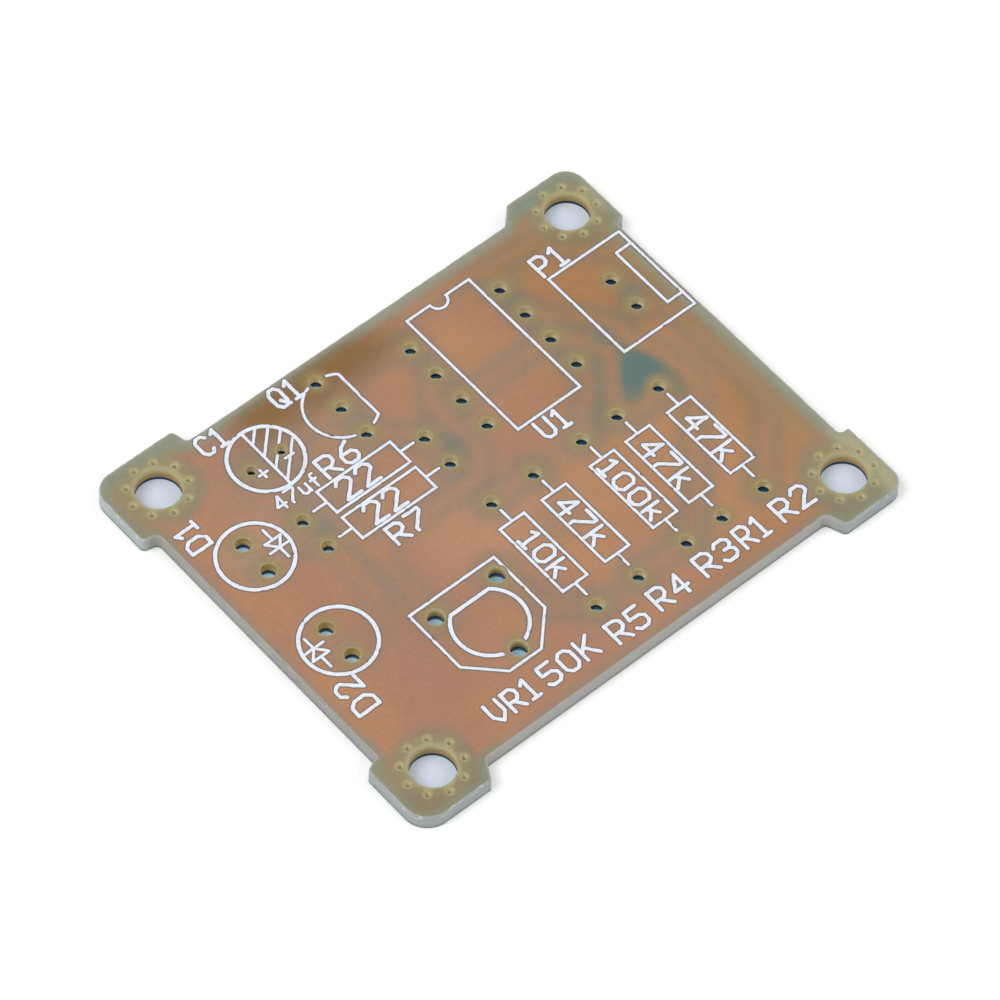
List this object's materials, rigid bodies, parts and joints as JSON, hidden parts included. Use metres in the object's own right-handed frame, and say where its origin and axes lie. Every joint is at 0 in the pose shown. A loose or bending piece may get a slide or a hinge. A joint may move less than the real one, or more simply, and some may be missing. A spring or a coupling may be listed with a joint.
{
  "type": "bare circuit board",
  "caption": "Bare drilled circuit board of an LED breathing-light kit, with eared corners, mounting holes, underside copper, solder mask and printed component outlines.",
  "frame": {"origin": "middle of the board on its underside", "axes": "+X the way the printed legend reads, +Y up the legend, +Z out of the component side"},
  "size_m": [0.0406, 0.033, 0.0012],
  "materials": {
    "laminate": "matt glass-epoxy laminate, translucent",
    "copper": "thin etched copper foil",
    "mask": "glossy green solder mask",
    "ink": "white screen-printed ink"
  },
  "bodies": {
    "root": {"board": "laminate", "copper_emitter_track": "copper", "copper_feedback_track": "copper", "copper_led_a_track": "copper", "copper_led_b_track": "copper", "copper_link_track": "copper", "copper_oscillator_track": "copper", "copper_pour": "copper", "copper_ramp_track": "copper", "copper_reference_track": "copper", "copper_supply_track": "copper", "copper_timing_track": "copper", "copper_trimmer_track": "copper", "legend_capacitor": "ink", "legend_chip": "ink", "legend_connector": "ink", "legend_led_a": "ink", "legend_led_b": "ink", "legend_resistor_1": "ink", "legend_resistor_2": "ink", "legend_resistor_3": "ink", "legend_resistor_4": "ink", "legend_resistor_5": "ink", "legend_resistor_6": "ink", "legend_resistor_7": "ink", "legend_transistor": "ink", "legend_trimmer": "ink", "legend_trimmer_dial": "ink", "solder_mask": "mask"}
  },
  "joints": []
}
